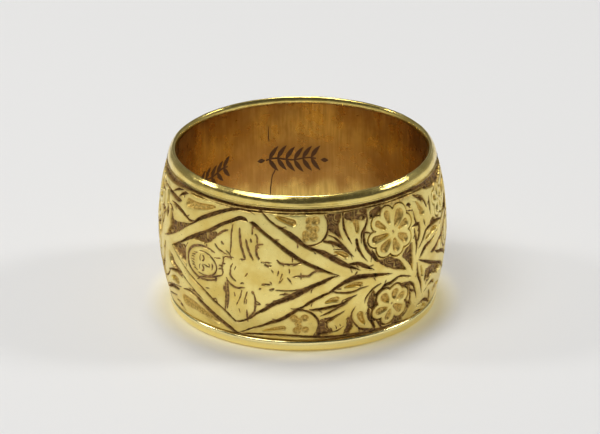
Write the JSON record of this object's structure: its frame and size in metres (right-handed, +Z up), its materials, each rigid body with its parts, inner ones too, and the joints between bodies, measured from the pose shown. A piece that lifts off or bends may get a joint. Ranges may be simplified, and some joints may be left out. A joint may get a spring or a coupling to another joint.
{
  "type": "engraved ring",
  "caption": "Wide barrel-shaped gold finger ring lying on its side, engraved all round with figures in lozenge panels, leaves and flowers.",
  "frame": {"origin": "centre of the bottom of the ring as it lies on its side, on the axis of the finger hole", "axes": "+Z up along the axis of the finger hole, towards the polished rim; -Y towards the middle of the ornament that the picture shows; +X to its right"},
  "size_m": [0.0218, 0.0218, 0.0126],
  "materials": {
    "gold": "worn engraved gold, polished at one rim, brown patina in the cuts"
  },
  "bodies": {
    "root": {"band": "gold"}
  },
  "joints": []
}
